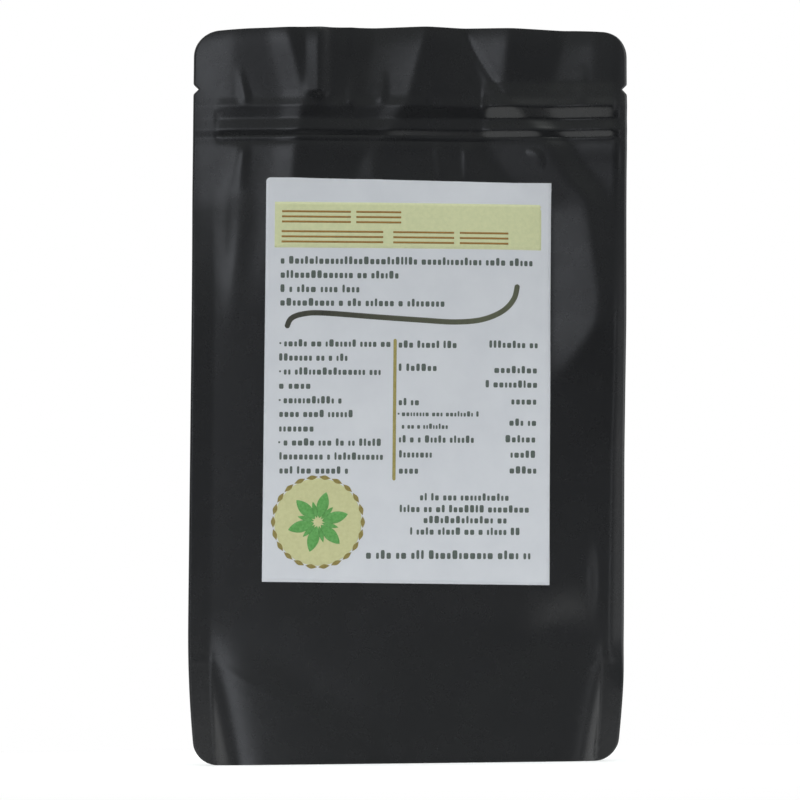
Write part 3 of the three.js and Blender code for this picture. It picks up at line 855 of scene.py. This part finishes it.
def makeCamera():
    # on a line from the target by azimuth and elevation, and rolled about it; the lens gives the scale
    a, e, r = (np.radians(photoCamera[k]) for k in ("azimuth", "elevation", "roll"))
    back = Vector((np.sin(a) * np.cos(e), -np.cos(a) * np.cos(e), np.sin(e)))
    place = Vector(photoCamera["target"]) + back * photoCamera["distance"]
    right = (-back).cross(Vector((0, 0, 1))).normalized()
    up = right.cross(-back)
    right, up = right * np.cos(r) + up * np.sin(r), up * np.cos(r) - right * np.sin(r)
    data = bpy.data.cameras.new("photoCamera")
    data.sensor_width = photoCamera["sensor"]
    framed = photoCamera["pixels"] / photoCamera["pixelsPerMm"] * mm
    data.lens = photoCamera["distance"] / framed * data.sensor_width
    data.clip_end = photoCamera["clip"]
    camera = bpy.data.objects.new("photoCamera", data)
    camera.matrix_world = Matrix((
        (right.x, up.x, back.x, place.x), (right.y, up.y, back.y, place.y),
        (right.z, up.z, back.z, place.z), (0, 0, 0, 1)))
    scene.collection.objects.link(camera)
    scene.camera = camera


softLights = [   # name, place, aim, width, height, radiance, colour
    ("leftBox", (-1.21, -3.30, 0.78), (0.0, 0.0, 0.24), 1.16, 0.64, 2.55, (0.94, 0.98, 1.06)),
    ("lowLeftBox", (-0.76, -1.95, 0.17), (0.0, 0.0, 0.24), 0.50, 0.36, 0.60, (0.94, 0.98, 1.06)),
    ("rightBox", (1.41, -1.56, 0.13), (0.0, 0.0, 0.10), 0.46, 0.20, 1.40, (0.97, 1.0, 1.04)),
    ("topBox", (0.0, -0.45, 1.45), (0.0, 0.0, 0.12), 1.60, 0.62, 2.3, (0.97, 1.0, 0.97)),
    ("rearBox", (0.0, 0.62, 1.45), (0.0, 0.0, 0.12), 1.60, 0.62, 1.8, (0.98, 1.0, 0.98)),
]


def makeLights():
    # area lights turned to their aims; the energy is the radiance times pi times the area
    for name, place, aim, width, height, radiance, colour in softLights:
        data = bpy.data.lights.new(name, "AREA")
        data.shape, data.size, data.size_y = "RECTANGLE", width, height
        data.energy, data.color = radiance * np.pi * width * height, colour
        lamp = bpy.data.objects.new(name, data)
        lamp.location = place
        lamp.rotation_euler = (Vector(aim) - Vector(place)).to_track_quat("-Z", "Y").to_euler()
        scene.collection.objects.link(lamp)


tent = dict(
    seen=(1.0, 1.0, 1.0), wall=(1.42, 1.44, 1.46),
    middle=(0.0, 0.0, 0.10), reach=(0.94, 1.0, 0.82), soft=0.05,
    low=(0.045, 0.047, 0.051), front=(0.232, 0.240, 0.256), high=(0.335, 0.357, 0.345),
    lowTo=(-0.12, 0.04), highTo=(0.08, 0.60),
)


def makeWorld():
    # a pale tent with an oval opening towards -Y, where the camera looks in, and one like it at the back.
    # The oval lies in the direction's x and z; the backdrop itself is plain white
    world = bpy.data.worlds.new("lightTent")
    scene.world = world
    world.use_nodes = True
    nodes, links = world.node_tree.nodes, world.node_tree.links
    background = nodes["Background"]
    place = nodes.new("ShaderNodeTexCoord")
    mapping = nodes.new("ShaderNodeMapping")
    mapping.inputs["Scale"].default_value = (1 / tent["reach"][0], 0.0, 1 / tent["reach"][2])
    mapping.inputs["Location"].default_value = (
        -tent["middle"][0] / tent["reach"][0], 0.0, -tent["middle"][2] / tent["reach"][2])
    links.new(place.outputs["Generated"], mapping.inputs["Vector"])
    reach = nodes.new("ShaderNodeVectorMath")
    reach.operation = "LENGTH"
    links.new(mapping.outputs["Vector"], reach.inputs[0])
    share = nodes.new("ShaderNodeMapRange")
    share.interpolation_type = "SMOOTHSTEP"
    share.inputs["From Min"].default_value = 1.0 - tent["soft"]
    share.inputs["From Max"].default_value = 1.0 + tent["soft"]
    links.new(reach.outputs["Value"], share.inputs["Value"])
    split = nodes.new("ShaderNodeSeparateXYZ")
    links.new(place.outputs["Generated"], split.inputs["Vector"])
    level = rangeNode(nodes, links, split.outputs["Z"], 0.0, 1.0, *tent["lowTo"])
    above = rangeNode(nodes, links, split.outputs["Z"], 0.0, 1.0, *tent["highTo"])
    front = mixColour(nodes, links, level.outputs["Result"], tent["low"], tent["front"])
    inside = mixColour(nodes, links, above.outputs["Result"], tent["front"], tent["high"])
    links.new(front.outputs[2], inside.inputs[6])
    walls = mixColour(nodes, links, share.outputs["Result"], tent["front"], tent["wall"])
    links.new(inside.outputs[2], walls.inputs[6])
    path = nodes.new("ShaderNodeLightPath")
    seen = nodes.new("ShaderNodeMix")
    seen.data_type = "RGBA"
    links.new(path.outputs["Is Camera Ray"], seen.inputs[0])
    links.new(walls.outputs[2], seen.inputs[6])
    seen.inputs[7].default_value = (*tent["seen"], 1.0)
    links.new(seen.outputs[2], background.inputs["Color"])


floorLook = dict(radius=0.42, sides=96, albedo=0.93, glow=0.12, rough=0.9, specular=0.1)


def makeFloor():
    # a pale disc with a little glow, flat on z = 0
    material, nodes, links, shader = newMaterial("paleFloor")
    shader.inputs["Base Color"].default_value = (*[floorLook["albedo"]] * 3, 1.0)
    shader.inputs["Emission Color"].default_value = (1.0, 1.0, 1.0, 1.0)
    shader.inputs["Emission Strength"].default_value = floorLook["glow"]
    shader.inputs["Roughness"].default_value = floorLook["rough"]
    shader.inputs["Specular IOR Level"].default_value = floorLook["specular"]
    r, sides = floorLook["radius"] / mm, floorLook["sides"]
    turn = np.linspace(0, 2 * np.pi, sides + 1)[:-1]
    rim = np.stack([r * np.cos(turn), r * np.sin(turn), 0 * turn], -1)
    floor = makeMesh("floor", rim, [np.arange(sides)[None, :]], material, smoothShaded=False)


makeCamera()
makeLights()
makeWorld()
makeFloor()
print("stage ready")

pouch = makePouch(makeFilm())
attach(pouch, "root")
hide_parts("pouch")
print("film shell ready")

sheet = makeLabel(makePaper())
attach(sheet, "root")
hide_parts("label")

ink = {name: makeInk(name) for name in inks}
prints = [
    makeBand(ink["bandInk"]), makeTitleBars(ink["titleInk"]), makeTypeBars(ink["typeInk"]),
    makeDivider(ink["dividerInk"]), makePod(makePodInk()), makeSealDisc(ink["discInk"]),
    makeSealRope(ink["ropeInk"]), makeRosette(ink["petalInk"]),
]
for piece in prints:
    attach(piece, "root")
print("label and print ready")
